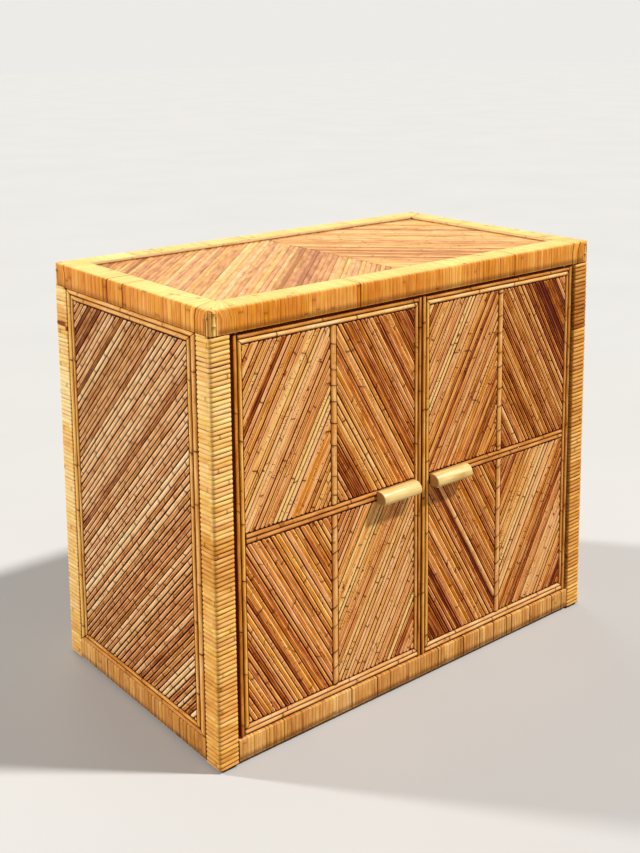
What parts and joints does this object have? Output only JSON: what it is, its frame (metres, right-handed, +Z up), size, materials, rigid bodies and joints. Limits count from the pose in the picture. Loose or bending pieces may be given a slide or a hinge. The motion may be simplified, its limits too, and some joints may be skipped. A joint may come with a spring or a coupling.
{
  "type": "record cabinet",
  "caption": "Low cabinet in split reed and rattan peel: wrapped post-and-rail frame, two pivot-hung doors, shelf and dividers for records.",
  "frame": {"origin": "on the floor, at the middle of the whole cabinet with its handles", "axes": "+X to the right seen from the front, +Y to the back, +Z up; the doors face -Y"},
  "size_m": [0.897, 0.5254, 0.762],
  "materials": {
    "rattan_peel_wrap": "satin lacquered peel, honey",
    "split_reed": "satin lacquered split reed, tan to red-brown",
    "half_round_bead": "satin lacquered half-round reed",
    "pale_wood": "smooth satin",
    "stained_plywood": "matt walnut stain",
    "pine_cleat": "matt stained pine",
    "zinc_steel": "zinc plated",
    "brass_washer": "plain",
    "catch_plastic": "moulded"
  },
  "bodies": {
    "carcass": {"back_board": "stained_plywood", "back_screws": "zinc_steel", "bottom_rail_front": "rattan_peel_wrap", "bottom_rail_left": "rattan_peel_wrap", "bottom_rail_rear": "rattan_peel_wrap", "bottom_rail_right": "rattan_peel_wrap", "catch_housings": "catch_plastic", "catch_poles": "zinc_steel", "divider_lower": "stained_plywood", "divider_upper": "stained_plywood", "floor_board": "stained_plywood", "floor_cleats": "pine_cleat", "glides": "zinc_steel", "hinge_leaves": "zinc_steel", "hinge_screws": "zinc_steel", "hinge_washers": "brass_washer", "post_front_left": "rattan_peel_wrap", "post_front_right": "rattan_peel_wrap", "post_rear_left": "rattan_peel_wrap", "post_rear_right": "rattan_peel_wrap", "shelf": "stained_plywood", "shelf_cleats": "pine_cleat", "side_beads_left": "half_round_bead", "side_beads_right": "half_round_bead", "side_board_left": "stained_plywood", "side_board_right": "stained_plywood", "side_reeds_left": "split_reed", "side_reeds_right": "split_reed", "top_board": "stained_plywood", "top_cleats": "pine_cleat", "top_rail_front": "rattan_peel_wrap", "top_rail_left": "rattan_peel_wrap", "top_rail_rear": "rattan_peel_wrap", "top_rail_right": "rattan_peel_wrap", "top_reeds_left": "split_reed", "top_reeds_right": "split_reed"},
    "door_left": {"door_left_board": "stained_plywood", "door_left_cross_beads": "half_round_bead", "door_left_handle": "pale_wood", "door_left_handle_screws": "zinc_steel", "door_left_hinge_leaves": "zinc_steel", "door_left_inner_beads": "half_round_bead", "door_left_leaf_screws": "zinc_steel", "door_left_outer_beads": "half_round_bead", "door_left_reeds_lower": "split_reed", "door_left_reeds_upper": "split_reed", "door_left_stile_bead": "half_round_bead", "door_left_strike_plate": "zinc_steel"},
    "door_right": {"door_right_board": "stained_plywood", "door_right_cross_beads": "half_round_bead", "door_right_handle": "pale_wood", "door_right_handle_screws": "zinc_steel", "door_right_hinge_leaves": "zinc_steel", "door_right_inner_beads": "half_round_bead", "door_right_leaf_screws": "zinc_steel", "door_right_outer_beads": "half_round_bead", "door_right_reeds_lower": "split_reed", "door_right_reeds_upper": "split_reed", "door_right_stile_bead": "half_round_bead", "door_right_strike_plate": "zinc_steel"}
  },
  "joints": [
    {"name": "door_left_hinge", "type": "hinge", "parent": "carcass", "child": "door_left", "pos_m": [-0.3905, -0.22975, 0.3815], "axis": [0, 0, -1], "range_deg": [0, 105]},
    {"name": "door_right_hinge", "type": "hinge", "parent": "carcass", "child": "door_right", "pos_m": [0.3905, -0.22975, 0.3815], "axis": [0, 0, 1], "range_deg": [0, 105]}
  ]
}
